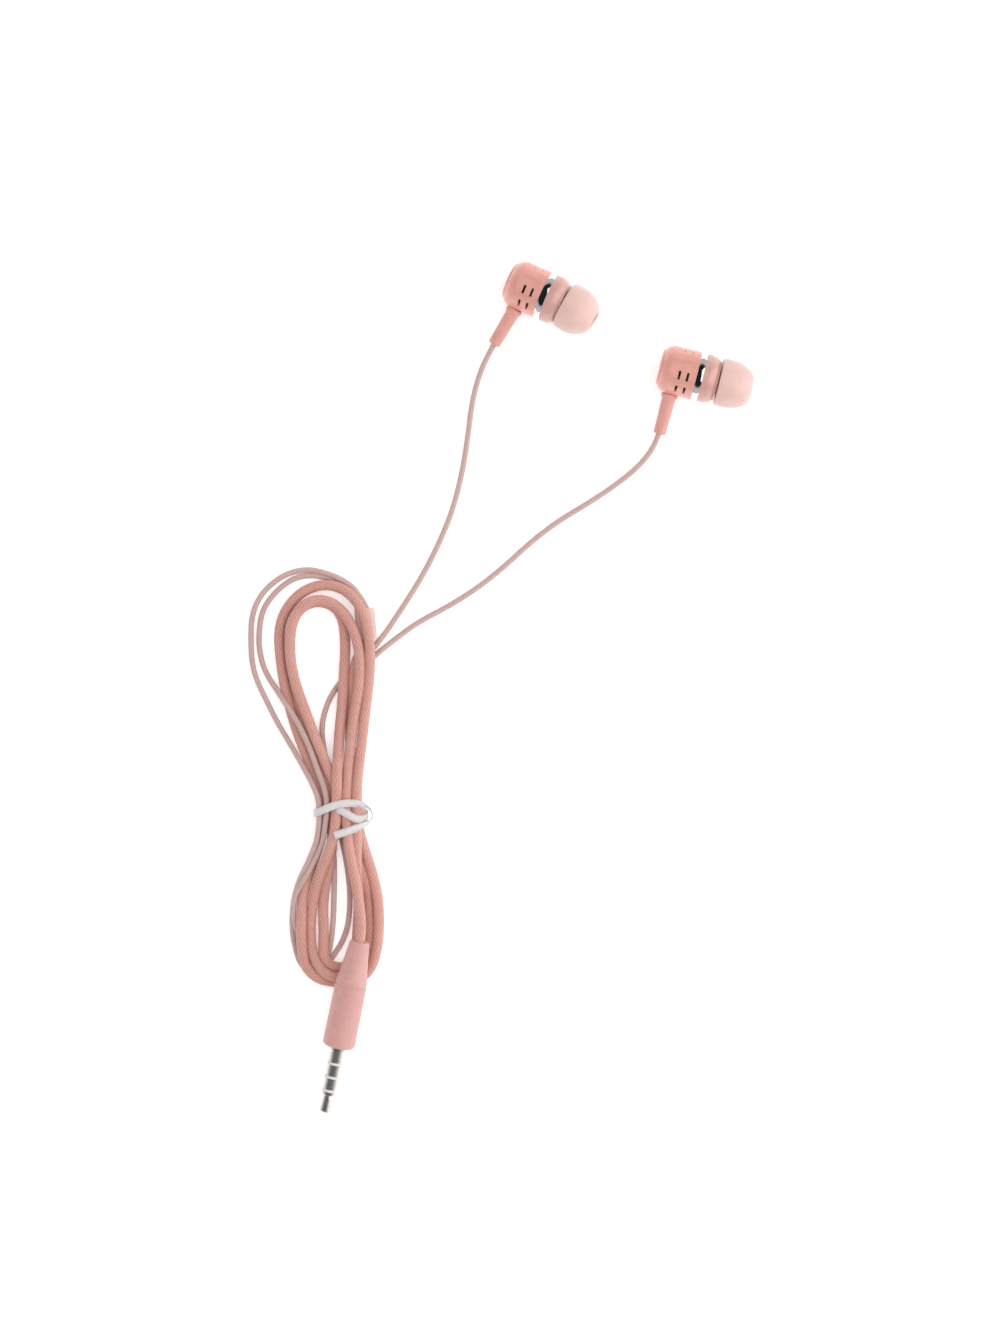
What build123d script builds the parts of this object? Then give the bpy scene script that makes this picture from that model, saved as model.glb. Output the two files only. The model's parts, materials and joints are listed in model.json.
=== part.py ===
from build123d import *
import math
import os

# Wired in-ear earphones, lying flat. Millimetres, +Z up, floor at z = 0.
# Origin: on the floor, under the centre of the box that holds the two earbuds.
# An earbud is drawn standing on its rear face: its axis is +Z and its boot leaves along +X.

# ---- earbud shell
WALL = 0.8
SLIP = 0.05                 # radial clearance of pieces that plug into each other
HOUSING_R = 5.5
REAR_FACE_R = 3.6
REAR_LENGTH = 2.7
HOUSING_LENGTH = 5.85
RING_WIDTH = 1.4
RING_PROUD = 0.15           # how far the ring stands out of the housing
COVER_STEP = 0.05           # how far the front cover stays inside the housing's surface
COVER_LENGTH = 3.55
COVER_FRONT_R = 4.45
SPIGOT_WALL = 0.55
LIP_DEPTH = 0.8             # how far the rear cap's lip reaches into the housing

# ---- nozzle and ear tip
NOZZLE_R = 2.6
NOZZLE_BORE_R = 1.6
NOZZLE_LENGTH = 5.5
NOZZLE_LIP = 0.15
MESH_THICK = 0.3
TIP_LENGTH = 7.9
TIP_R = 5.4
TIP_FRONT_R = 3.1
TIP_HOLE_R = 2.0
TIP_TUBE_WALL = 0.7
TIP_SKIRT = 0.55
TIP_GAP = 0.15              # ear tip to front cover at rest

# ---- vents in the housing
SLIT_LENGTH = 2.0
SLIT_WIDTH = 0.55
SLIT_STATIONS = (2.0, 3.9)  # from the housing's rear edge
SLIT_ANGLES = (54, 92, -54, -92)
PIN_VENT_R = 0.22
PIN_VENT_ANGLES = (163, -163)

# ---- driver
DRIVER_SLIP = 0.1
DRIVER_HEIGHT = 2.0
DRIVER_RIM = 0.45
DRIVER_FLOOR = 0.5
YOKE_R = 2.6
YOKE_WALL = 0.45
YOKE_HEIGHT = 2.2
YOKE_FLOOR = 0.5
YOKE_BACK = 1.3             # how far the yoke stands out of the frame's back
MAGNET_R = 1.6
MAGNET_HEIGHT = 1.2
PLATE_HEIGHT = 0.5
COIL_R = 1.78
COIL_WALL = 0.2
COIL_HEIGHT = 1.2
FILM = 0.12
PROTECTOR_THICK = 0.2
PAPER_THICK = 0.1
BOARD_R = 2.3
BOARD_THICK = 0.4
WIRE_R = 0.15

# ---- boot and lead
BOOT_STATION = 3.84         # from the rear face
BOOT_ROOT_R = 1.56
BOOT_END_R = 1.42
BOOT_REACH = 14.9           # boot's end, from the bud's axis
COLLAR_R = 1.85
COLLAR_LENGTH = 0.9
NECK_R = 1.0
FLANGE_R = 1.35
FLANGE_THICK = 0.4
LEAD_D = 1.3
LEAD_GRIP = 3.0             # how far a cord goes into its boot or relief
KNOT_R = 0.75
KNOT_ROPE_R = 0.45

# ---- where the earbuds lie: rear face centre, heading of the axis, tip-up tilt, boot lean
BUDS = {
    "left": {"rear": (-25.44, 15.41), "heading": -24.5, "tilt": 6.0, "dip": 13.5, "lean": 8.0},
    "right": {"rear": (8.5, -4.19), "heading": -14.3, "tilt": 0.0, "dip": 15.5, "lean": 0.0},
}

# ---- plug
RELIEF_LENGTH = 10.3
RELIEF_END_R = 2.2
RELIEF_R = 3.55
CONDUCTOR_R = 0.7
HANDLE_R = 3.6
HANDLE_END_R = 3.7
HANDLE_LENGTH = 14.4
HANDLE_WALL = 1.0
HANDLE_END_WALL = 1.2
RELIEF_SPIGOT = 2.0
SLEEVE_TAIL = 4.0           # how far the sleeve reaches back into the handle
STANDOFF_STEP = 0.25
STANDOFF_LENGTH = 0.8
PIN_R = 1.75
SLEEVE_LENGTH = 3.0
CONTACT_LENGTH = 2.6
INSULATOR_THICK = 0.6
TIP_CONTACT_LENGTH = 5.3
CONTACT_BORE_R = 1.0
TIP_ROD_R = 0.45
PLUG_END = (-59.05, -133.79, 7.844)   # centre of the relief's cord end
PLUG_HEADING = 258.2
PLUG_DIP = 9.2

# ---- cords
CORD_D = 2.4
FLOOR_LEAD = LEAD_D / 2
LEAD_POINTS = {
    "left": [(-32.2, -5.6), (-33.9, -12.2), (-34.8, -20.0), (-36.0, -27.6), (-38.0, -35.8), (-41.2, -43.8),
             (-45.2, -51.6), (-49.8, -58.8), (-53.4, -64.2)],
    "right": [(4.6, -26.0), (-0.6, -30.3), (-7.0, -34.6), (-13.8, -38.6), (-20.2, -43.4), (-26.2, -49.0),
              (-32.4, -54.0), (-39.4, -58.4), (-46.2, -61.9), (-52.2, -66.2)],
}
LEAD_ENDS = {"left": (-56.4, -67.9), "right": (-56.6, -69.5)}
CORD_POINTS = [(-61.85, -112.6, 4.5), (-60.95, -117.8, 4.9), (-60.1, -122.3, 5.8), (-59.4, -126.6, 7.1)]
CORD_OUT = 2.0              # straight stretch of a cord as it leaves a boot or a relief

# ---- hank and what sits in it
LOBE_HEIGHT = 4.9
FOOT_HEIGHT = 2.25
WAIST_HEIGHT = 6.0
TIE_GAUGE = 0.7
HANK_OUTLINE = [(-72.9, -49.2), (-78.9, -51.6), (-83.4, -56.6), (-85.0, -62.5), (-84.5, -70.7), (-82.7, -76.1),
                (-80.0, -81.6), (-76.8, -87.0), (-73.4, -92.5), (-70.5, -98.0), (-68.7, -103.4), (-69.1, -108.9),
                (-71.1, -114.3), (-74.3, -122.5), (-75.9, -133.4), (-74.8, -138.9), (-71.8, -141.6),
                (-68.4, -144.3), (-60.0, -145.4), (-54.8, -138.9), (-53.9, -133.4), (-54.8, -122.5),
                (-57.3, -114.3), (-58.4, -108.9), (-58.6, -98.0), (-57.0, -81.6), (-56.1, -72.0), (-57.0, -65.2), (-57.0, -62.0),
                (-57.7, -57.0), (-62.0, -52.2), (-66.0, -49.8)]
UPPER_WINDOW = [(-70.4, -59.6), (-73.0, -63.5), (-73.4, -69.0), (-72.0, -76.0), (-68.4, -84.4), (-66.6, -84.4),
                (-65.2, -76.0), (-64.2, -66.0), (-65.6, -60.6)]
LOWER_WINDOW = [(-64.3, -117.0), (-64.5, -126.0), (-64.7, -133.5), (-63.3, -133.5), (-62.9, -126.0), (-63.3, -117.0)]
WAIST_SPAN = (-112.6, -95.0)
HANK_GAP = 0.1
SPLITTER_CENTRE = (-58.0, -62.15)
SPLITTER_SIZE = (4.6, 7.0, 2.9)
SPLITTER_CORE = (3.0, 5.0, 1.5)
SPLITTER_TURN = 4.5
SPLITTER_ROUND = 1.2
TIE_STATION = -104.6
TIE_WIDTH = 1.75
TIE_SLACK = 0.15
TIE_THICK = 0.4
TIE_WIRE = 0.2              # side of the wire's square section
TIE_TAIL = 2.3              # how far the slack loop stands out beside the waist

os.makedirs("parts", exist_ok=True)

HOUSING_START = REAR_LENGTH
RING_START = HOUSING_START + HOUSING_LENGTH
COVER_START = RING_START + RING_WIDTH
COVER_END = COVER_START + COVER_LENGTH
NOZZLE_END = COVER_END + NOZZLE_LENGTH
BORE_R = HOUSING_R - WALL
RING_R = HOUSING_R + RING_PROUD
COVER_R = HOUSING_R - COVER_STEP
DRIVER_R = BORE_R - DRIVER_SLIP
SPIGOT_R = BORE_R - SLIP
PROTECTOR_TOP = RING_START - 0.35
DRIVER_TOP = PROTECTOR_TOP - PROTECTOR_THICK
DRIVER_BACK = DRIVER_TOP - DRIVER_HEIGHT
YOKE_START = DRIVER_BACK - YOKE_BACK
FILM_HEIGHT = DRIVER_TOP - 0.7
TIP_BASE = COVER_END + TIP_GAP
FLANGE_OUTER = math.sqrt((BORE_R - SLIP) ** 2 - FLANGE_R ** 2)
FLANGE_INNER = FLANGE_OUTER - FLANGE_THICK


def turned(*lines):
    """A solid of revolution about +Z from lines drawn as (radius, height)."""
    return revolve(Plane.XZ * make_face(Curve() + list(lines)), axis=Axis.Z)


def turned_polygon(*points):
    return turned(Polyline(*points, close=True))


def tube(outer, inner, low, high):
    return turned_polygon((inner, low), (outer, low), (outer, high), (inner, high))


def disc(radius, low, high):
    return Location((0, 0, (low + high) / 2)) * Cylinder(radius, high - low)


def bar_x(radius, start, end, height):
    """A round bar along +X at the given height."""
    return Location(((start + end) / 2, 0, height), (0, 90, 0)) * Cylinder(radius, end - start)


# ---- earbud pieces, standing on the rear face

def rear_cap():
    shell = turned(
        Line((0, 0), (REAR_FACE_R, 0)),
        ThreePointArc((REAR_FACE_R, 0), (REAR_FACE_R + 0.37, 0.14), (REAR_FACE_R + 0.55, 0.5)),
        ThreePointArc((REAR_FACE_R + 0.55, 0.5), (HOUSING_R - 0.45, REAR_LENGTH / 2), (HOUSING_R, REAR_LENGTH)),
        Polyline((HOUSING_R, REAR_LENGTH), (SPIGOT_R, REAR_LENGTH), (SPIGOT_R, REAR_LENGTH + LIP_DEPTH),
                 (SPIGOT_R - 0.4, REAR_LENGTH + LIP_DEPTH), (SPIGOT_R - 0.4, REAR_LENGTH - 0.2),
                 (REAR_FACE_R - 0.3, WALL), (0, WALL), (0, 0)),
    )
    return shell - bar_x(FLANGE_R + SLIP, 0, HOUSING_R - 0.2, BOOT_STATION)


def housing():
    shell = tube(HOUSING_R, BORE_R, HOUSING_START, RING_START)
    for station in SLIT_STATIONS:
        for angle in SLIT_ANGLES:
            slit = Location((HOUSING_R, 0, HOUSING_START + station)) * Box(3 * WALL, SLIT_LENGTH, SLIT_WIDTH)
            shell -= Rot(0, 0, -angle) * slit
        for angle in PIN_VENT_ANGLES:
            shell -= Rot(0, 0, -angle) * bar_x(PIN_VENT_R, BORE_R - 1, HOUSING_R + 1, HOUSING_START + station)
    return shell - bar_x(NECK_R + SLIP, 0, HOUSING_R + 1, BOOT_STATION)


def trim_ring():
    bulge = RING_R - 0.12
    return turned(
        Polyline((bulge, COVER_START), (BORE_R, COVER_START), (BORE_R, RING_START), (bulge, RING_START)),
        ThreePointArc((bulge, RING_START), (RING_R, RING_START + RING_WIDTH / 2), (bulge, COVER_START)),
    )


def front_cover():
    shoulder = COVER_START + 1.35
    brow = (COVER_FRONT_R + 0.12, COVER_END - 0.35)
    lip = NOZZLE_R + NOZZLE_LIP
    mesh_seat = NOZZLE_END - MESH_THICK - 0.3
    return turned(
        Line((COVER_R, COVER_START), (COVER_R, shoulder)),
        ThreePointArc((COVER_R, shoulder), (COVER_R - 0.28, COVER_START + 2.3), brow),
        Polyline(brow, (COVER_FRONT_R, COVER_END), (NOZZLE_R, COVER_END), (NOZZLE_R, NOZZLE_END - 0.7),
                 (lip, NOZZLE_END - 0.6), (lip, NOZZLE_END - 0.2), (lip - 0.2, NOZZLE_END),
                 (NOZZLE_BORE_R + 0.3, NOZZLE_END), (NOZZLE_BORE_R + 0.3, mesh_seat), (NOZZLE_BORE_R, mesh_seat),
                 (NOZZLE_BORE_R, COVER_END - 0.7), (SPIGOT_R - SPIGOT_WALL, COVER_START + 0.6),
                 (SPIGOT_R - SPIGOT_WALL, PROTECTOR_TOP), (SPIGOT_R, PROTECTOR_TOP),
                 (SPIGOT_R, COVER_START), (COVER_R, COVER_START)),
    )


def nozzle_mesh():
    seat = NOZZLE_END - MESH_THICK - 0.3
    mesh = disc(NOZZLE_BORE_R + 0.3 - SLIP, seat, seat + MESH_THICK)
    holes = [Location((x * 0.55, y * 0.55, seat)) * Cylinder(0.16, 2) for x in range(-2, 3) for y in range(-2, 3)
             if x * x + y * y < 6]
    for hole in holes:
        mesh -= hole
    return mesh


def ear_tip():
    """A soft mushroom: an inner tube on the nozzle and a skirt folded back over it."""
    bore = NOZZLE_R + NOZZLE_LIP + SLIP
    tube_r = bore + TIP_TUBE_WALL
    front = TIP_BASE + TIP_LENGTH
    skirt_start = TIP_BASE + 0.3
    straight = TIP_BASE + 2.8
    inner_top = TIP_BASE + 4.4
    skirt_in = TIP_R - TIP_SKIRT - 0.15
    return turned(
        Line((TIP_R - 0.05, skirt_start), (TIP_R, straight)),
        ThreePointArc((TIP_R, straight), (TIP_R - 0.45, TIP_BASE + 5.7), (TIP_FRONT_R, front - 0.15)),
        Polyline((TIP_FRONT_R, front - 0.15), (TIP_FRONT_R - 0.6, front), (TIP_HOLE_R, front - 0.1),
                 (TIP_HOLE_R, NOZZLE_END + 0.4), (bore, NOZZLE_END + 0.4), (bore, TIP_BASE), (tube_r, TIP_BASE),
                 (tube_r, inner_top)),
        ThreePointArc((tube_r, inner_top), ((tube_r + skirt_in) / 2, inner_top + 0.6), (skirt_in, inner_top)),
        Polyline((skirt_in, inner_top), (TIP_R - TIP_SKIRT, skirt_start), (TIP_R - 0.05, skirt_start)),
    )


def driver_frame():
    rim_in = DRIVER_R - DRIVER_RIM
    frame = turned_polygon(
        (YOKE_R + SLIP, DRIVER_BACK), (DRIVER_R, DRIVER_BACK), (DRIVER_R, DRIVER_TOP), (rim_in, DRIVER_TOP),
        (rim_in, FILM_HEIGHT), (rim_in - 0.4, FILM_HEIGHT), (rim_in - 0.4, DRIVER_BACK + DRIVER_FLOOR),
        (YOKE_R + SLIP, DRIVER_BACK + DRIVER_FLOOR))
    for angle in range(0, 360, 60):
        frame -= Rot(0, 0, angle) * Location((3.2, 0, DRIVER_BACK)) * Cylinder(0.4, 3 * DRIVER_FLOOR)
    return frame


def driver_yoke():
    inner = YOKE_R - YOKE_WALL
    cup = turned_polygon(
        (0, YOKE_START), (YOKE_R, YOKE_START), (YOKE_R, YOKE_START + YOKE_HEIGHT),
        (inner, YOKE_START + YOKE_HEIGHT), (inner, YOKE_START + YOKE_FLOOR), (0, YOKE_START + YOKE_FLOOR))
    flange_low = DRIVER_BACK + DRIVER_FLOOR
    return cup + tube(YOKE_R + 0.3, YOKE_R - 0.1, flange_low, flange_low + 0.3)


def driver_magnet():
    low = YOKE_START + YOKE_FLOOR
    return disc(MAGNET_R, low, low + MAGNET_HEIGHT)


def driver_top_plate():
    low = YOKE_START + YOKE_FLOOR + MAGNET_HEIGHT
    return disc(MAGNET_R + SLIP, low, low + PLATE_HEIGHT)


def voice_coil():
    return tube(COIL_R + COIL_WALL, COIL_R, FILM_HEIGHT - COIL_HEIGHT, FILM_HEIGHT)


def driver_diaphragm():
    """A film with a shallow dome, a flat neck over the coil, a half-roll surround and a flat rim."""
    neck = COIL_R + COIL_WALL + 0.1
    edge = DRIVER_R - DRIVER_RIM - SLIP
    hinge = edge - 0.3
    middle = (neck + hinge) / 2
    under = [(0, 0.4), (COIL_R * 0.6, 0.25), (COIL_R, 0), (neck, 0), (neck + 0.25, 0.25), (middle, 0.4),
             (hinge - 0.25, 0.25), (hinge, 0), (edge, 0)]
    over = [(r, rise + FILM) for r, rise in reversed(under)]
    return turned_polygon(*[(r, FILM_HEIGHT + rise) for r, rise in under + over])


def driver_protector():
    plate = disc(DRIVER_R, DRIVER_TOP, PROTECTOR_TOP)
    for angle in range(0, 360, 60):
        plate -= Rot(0, 0, angle) * Location((2.2, 0, DRIVER_TOP)) * Cylinder(0.6, 3)
    return plate - Location((0, 0, DRIVER_TOP)) * Cylinder(0.6, 3)


def damping_paper():
    return tube(DRIVER_R - 0.1, YOKE_R + 0.1, DRIVER_BACK - PAPER_THICK, DRIVER_BACK)


def terminal_board():
    board = disc(BOARD_R, YOKE_START - BOARD_THICK, YOKE_START)
    for side in (-1, 1):
        board += Location((0.9, side * 0.8, YOKE_START - BOARD_THICK)) * Sphere(0.35)
    return board


def signal_wires():
    """Two fine wires from the knot to the solder pads."""
    wires = Part()
    for side in (-1, 1):
        start = Vector(FLANGE_INNER - 2 * KNOT_ROPE_R - 0.2, side * 0.35, BOOT_STATION)
        end = Vector(1.35, side * 0.8, YOKE_START - BOARD_THICK - 0.25)
        run = end - start
        wires += Plane(origin=(start + end) * 0.5, z_dir=run) * Cylinder(WIRE_R, run.length)
    return wires


def lead_knot():
    """The overhand knot that stops the lead from pulling out."""
    return Location((FLANGE_INNER - KNOT_ROPE_R - 0.02, 0, BOOT_STATION), (0, 90, 0)) * Torus(KNOT_R, KNOT_ROPE_R)


def boot(lean):
    """A soft sleeve round the lead: a flange inside, a neck in the wall, a tapering body outside."""
    length = BOOT_REACH - HOUSING_R + 0.6
    body = Location((0, 0, length / 2)) * Cone(BOOT_ROOT_R, BOOT_END_R, length)
    body = fillet(body.edges().sort_by(Axis.Z)[-1], 0.25)
    collar = Location((0, 0, 0.6 + COLLAR_LENGTH / 2)) * Cone(COLLAR_R, BOOT_ROOT_R, COLLAR_LENGTH)
    collar += Location((0, 0, 0.3)) * Cylinder(COLLAR_R, 0.6)
    outside = (body + collar) - Location((0, 0, length - LEAD_GRIP / 2)) * Cylinder(LEAD_D / 2 + SLIP, LEAD_GRIP)
    outside = Location((HOUSING_R - 0.6, 0, BOOT_STATION), (0, 90 + lean, 0)) * outside
    shell = Location((0, 0, RING_START / 2)) * Cylinder(HOUSING_R + 0.02, 2 * RING_START)
    neck = bar_x(NECK_R, FLANGE_INNER + FLANGE_THICK / 2, HOUSING_R + 0.3, BOOT_STATION)
    flange = bar_x(FLANGE_R, FLANGE_INNER, FLANGE_OUTER, BOOT_STATION)
    return (outside - shell) + neck + flange


def boot_line(lean, distance):
    """A point on the boot's centre line, measured from its root on the housing."""
    angle = math.radians(lean)
    return Vector(HOUSING_R - 0.6 + distance * math.cos(angle), 0, BOOT_STATION - distance * math.sin(angle))


def resting_height(tilt):
    """The height of the rear face's centre when the lowest edge of the bud touches the floor."""
    rise = math.radians(tilt)
    edges = [(HOUSING_R, REAR_LENGTH), (RING_R, RING_START + RING_WIDTH / 2)]
    return max(radius * math.cos(rise) - station * math.sin(rise) for radius, station in edges)


def bud_place(bud):
    """Lays an earbud down: heading of its axis, tilt of its tip and dip of its boot."""
    place = Location((bud["rear"][0], bud["rear"][1], resting_height(bud["tilt"]))) * Rot(0, 0, bud["heading"])
    place = place * Rot(0, -bud["tilt"], 0) * Rot(0, 90, 0)
    return place * Rot(0, 0, -90 + bud["dip"])


def bud_pieces(bud):
    return {
        "rear_cap": rear_cap(), "housing": housing(), "trim_ring": trim_ring(), "front_cover": front_cover(),
        "nozzle_mesh": nozzle_mesh(), "ear_tip": ear_tip(), "driver_frame": driver_frame(),
        "driver_yoke": driver_yoke(), "driver_magnet": driver_magnet(), "driver_top_plate": driver_top_plate(),
        "voice_coil": voice_coil(), "driver_diaphragm": driver_diaphragm(),
        "driver_protector": driver_protector(), "damping_paper": damping_paper(),
        "terminal_board": terminal_board(), "signal_wires": signal_wires(), "lead_knot": lead_knot(),
        "boot": boot(bud["lean"]),
    }


# ---- plug, standing on the cord end of its relief

def plug_relief():
    grip = CORD_D / 2 + SLIP
    spigot = HANDLE_R - HANDLE_WALL - SLIP
    bend = (RELIEF_R - 0.3, RELIEF_LENGTH - 2.2)
    return turned(
        Polyline((CONDUCTOR_R, LEAD_GRIP), (grip, LEAD_GRIP), (grip, 0), (RELIEF_END_R - 0.3, 0),
                 (RELIEF_END_R, 0.3), bend),
        ThreePointArc(bend, (RELIEF_R - 0.08, RELIEF_LENGTH - 1.2), (RELIEF_R - 0.03, RELIEF_LENGTH)),
        Polyline((RELIEF_R - 0.03, RELIEF_LENGTH), (spigot, RELIEF_LENGTH),
                 (spigot, RELIEF_LENGTH + RELIEF_SPIGOT), (CONDUCTOR_R, RELIEF_LENGTH + RELIEF_SPIGOT),
                 (CONDUCTOR_R, LEAD_GRIP)),
    )


def plug_handle():
    end = RELIEF_LENGTH + HANDLE_LENGTH
    inner = HANDLE_R - HANDLE_WALL
    step = 0.15
    return turned_polygon(
        (inner, RELIEF_LENGTH), (HANDLE_R - step, RELIEF_LENGTH), (HANDLE_R, RELIEF_LENGTH + step),
        (HANDLE_END_R, end - 0.4), (HANDLE_END_R - 0.4, end), (PIN_R + SLIP, end),
        (PIN_R + SLIP, end - HANDLE_END_WALL), (inner, end - HANDLE_END_WALL))


def plug_inner_mould():
    low = RELIEF_LENGTH + RELIEF_SPIGOT
    high = RELIEF_LENGTH + HANDLE_LENGTH - HANDLE_END_WALL
    tail = RELIEF_LENGTH + HANDLE_LENGTH - SLEEVE_TAIL
    return turned_polygon(
        (CONDUCTOR_R, low), (HANDLE_R - HANDLE_WALL - SLIP, low), (HANDLE_R - HANDLE_WALL - SLIP, high),
        (PIN_R + SLIP, high), (PIN_R + SLIP, tail), (CONDUCTOR_R, tail))


PIN_START = RELIEF_LENGTH + HANDLE_LENGTH + STANDOFF_LENGTH
CONTACT_STARTS = [SLEEVE_LENGTH + INSULATOR_THICK + n * (CONTACT_LENGTH + INSULATOR_THICK) for n in range(2)]
HEAD_START = CONTACT_STARTS[-1] + CONTACT_LENGTH + INSULATOR_THICK


def plug_sleeve():
    flange = tube(PIN_R + STANDOFF_STEP, CONTACT_BORE_R, PIN_START - STANDOFF_LENGTH, PIN_START)
    tail = tube(PIN_R, CONTACT_BORE_R, PIN_START - STANDOFF_LENGTH - SLEEVE_TAIL, PIN_START + SLEEVE_LENGTH)
    return flange + tail


def plug_ring(number):
    low = PIN_START + CONTACT_STARTS[number]
    return tube(PIN_R, CONTACT_BORE_R, low, low + CONTACT_LENGTH)


def plug_insulators():
    inner, outer = TIP_ROD_R + SLIP, CONTACT_BORE_R - SLIP
    spine = tube(outer, inner, PIN_START - STANDOFF_LENGTH - SLEEVE_TAIL, PIN_START + HEAD_START)
    for start in [SLEEVE_LENGTH] + [low + CONTACT_LENGTH for low in CONTACT_STARTS]:
        spine += tube(PIN_R, inner, PIN_START + start, PIN_START + start + INSULATOR_THICK)
    return spine


def plug_tip():
    low = PIN_START + HEAD_START
    end = low + TIP_CONTACT_LENGTH
    back = PIN_START - STANDOFF_LENGTH - SLEEVE_TAIL
    nose = (PIN_R - 0.3, end - 0.7)
    return turned(
        Polyline((0, back), (TIP_ROD_R, back), (TIP_ROD_R, low), (PIN_R, low), (PIN_R, low + 0.6),
                 (PIN_R - 0.6, low + 1.0), (PIN_R - 0.5, low + 1.6), nose),
        ThreePointArc(nose, (PIN_R - 0.55, end - 0.3), (PIN_R - 1.05, end - 0.08)),
        Polyline((PIN_R - 1.05, end - 0.08), (0, end), (0, back)),
    )


def plug_place():
    place = Location(PLUG_END) * Rot(0, 0, PLUG_HEADING) * Rot(0, PLUG_DIP, 0)
    return place * Rot(0, 90, 0)


def plug_pieces():
    return {
        "plug_relief": plug_relief(), "plug_handle": plug_handle(), "plug_inner_mould": plug_inner_mould(),
        "plug_sleeve": plug_sleeve(), "plug_ring_2": plug_ring(0), "plug_ring_1": plug_ring(1),
        "plug_insulators": plug_insulators(), "plug_tip": plug_tip(),
    }


# ---- cords

def spot(place, point):
    """Where a point of a piece lands once the piece is laid down."""
    return (place * Location(point)).position


def corner_radii(points):
    """Each corner's arc: 0.45 of its shorter run, over the tangent of half its turn."""
    radii = []
    for before, here, after in zip(points, points[1:], points[2:]):
        run_in, run_out = here - before, after - here
        half_turn = math.radians(run_in.get_angle(run_out)) / 2
        radii.append(0.45 * min(run_in.length, run_out.length) / math.tan(half_turn))
    return radii


def cord(name, points, diameter):
    points = [Vector(*point) for point in points]
    radii = corner_radii(points)
    path = FilletPolyline(*points, radius=radii)
    section = Plane(origin=path @ 0, z_dir=path % 0) * Circle(diameter / 2)
    solid = sweep(section, path=path)
    runs = [(b - a).length for a, b in zip(points, points[1:])]
    print(name, "length", round(path.length, 1), "radii/d", [round(r / diameter, 1) for r in radii],
          "runs", [round(run, 1) for run in runs],
          "volume ratio", round(solid.volume / (path.length * math.pi * diameter ** 2 / 4), 4))
    print("  route", [tuple(round(value, 2) for value in point) for point in points])
    return solid


def lead(side):
    bud = BUDS[side]
    place = bud_place(bud)
    length = BOOT_REACH - HOUSING_R + 0.6
    inside = spot(place, boot_line(bud["lean"], length - LEAD_GRIP))
    outside = spot(place, boot_line(bud["lean"], length + CORD_OUT))
    floor = [(x, y, FLOOR_LEAD) for x, y in LEAD_POINTS[side] + [LEAD_ENDS[side]]]
    return cord("lead_" + side, [inside, outside] + floor, LEAD_D)


def main_cord():
    place = plug_place()
    return cord("main_cord", CORD_POINTS + [spot(place, (0, 0, -CORD_OUT)), spot(place, (0, 0, LEAD_GRIP))], CORD_D)


def slab(outline, low, high):
    return extrude(Plane.XY.offset(low) * make_face(Polyline(*outline, close=True)), high - low)


def span_box(y_low, y_high, z_low, z_high):
    """A box across the whole hank."""
    middle = ((y_low + y_high) / 2, (z_low + z_high) / 2)
    return Location((-70, middle[0], middle[1])) * Box(60, y_high - y_low, z_high - z_low)


def splitter_bar(grow):
    x, y, z = SPLITTER_SIZE
    bar = Box(x + 2 * grow, y + 2 * grow, z + 2 * grow)
    bar = fillet(bar.edges().filter_by(Axis.Y), SPLITTER_ROUND)
    return Location((*SPLITTER_CENTRE, z / 2), (0, 0, SPLITTER_TURN)) * bar


def splitter_core():
    z = SPLITTER_SIZE[2] / 2
    return Location((*SPLITTER_CENTRE, z), (0, 0, SPLITTER_TURN)) * Box(*SPLITTER_CORE)


def splitter_body():
    """Clamped round the core; the core's seat opens at the end where the main cord leaves."""
    seat = Location((0, -SPLITTER_SIZE[1] / 2, 0)) * Box(SPLITTER_CORE[0], SPLITTER_SIZE[1], SPLITTER_CORE[2])
    core_end = Location((0, -SPLITTER_CORE[1] / 2, 0)) * Box(SPLITTER_CORE[0], SPLITTER_CORE[1], SPLITTER_CORE[2])
    place = Location((*SPLITTER_CENTRE, SPLITTER_SIZE[2] / 2), (0, 0, SPLITTER_TURN))
    return splitter_bar(0) - place * (Location((0, SPLITTER_CORE[1] / 2, 0)) * seat) - place * core_end


def cord_hank():
    low, high = WAIST_SPAN
    bottom = min(y for _, y in HANK_OUTLINE) - 1
    body = slab(HANK_OUTLINE, 0, WAIST_HEIGHT)
    body -= slab(UPPER_WINDOW, -1, WAIST_HEIGHT + 1)
    body -= slab(LOWER_WINDOW, -1, WAIST_HEIGHT + 1)
    body -= span_box(high, 0, LOBE_HEIGHT, WAIST_HEIGHT + 1)
    body -= span_box(bottom, low, FOOT_HEIGHT, WAIST_HEIGHT + 1)
    body -= span_box(low, high, -1, TIE_GAUGE)
    return body - splitter_bar(HANK_GAP)


def waist_edges():
    """The waist's left and right edge where the tie goes round it."""
    crossings = []
    for (x0, y0), (x1, y1) in zip(HANK_OUTLINE, HANK_OUTLINE[1:] + HANK_OUTLINE[:1]):
        if (y0 - TIE_STATION) * (y1 - TIE_STATION) < 0:
            crossings.append(x0 + (x1 - x0) * (TIE_STATION - y0) / (y1 - y0))
    return min(crossings), max(crossings)


def band(grow_in, grow_out, width):
    """A flat loop round the waist, between two distances from it."""
    left, right = waist_edges()
    size = (right - left, WAIST_HEIGHT - TIE_GAUGE)
    centre = ((left + right) / 2, TIE_STATION, (WAIST_HEIGHT + TIE_GAUGE) / 2)
    outer = Box(size[0] + 2 * grow_out, width, size[1] + 2 * grow_out)
    inner = Box(size[0] + 2 * grow_in, 2 * width, size[1] + 2 * grow_in)
    return Location(centre) * (fillet(outer.edges().filter_by(Axis.Y), 0.6) - inner)


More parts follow.
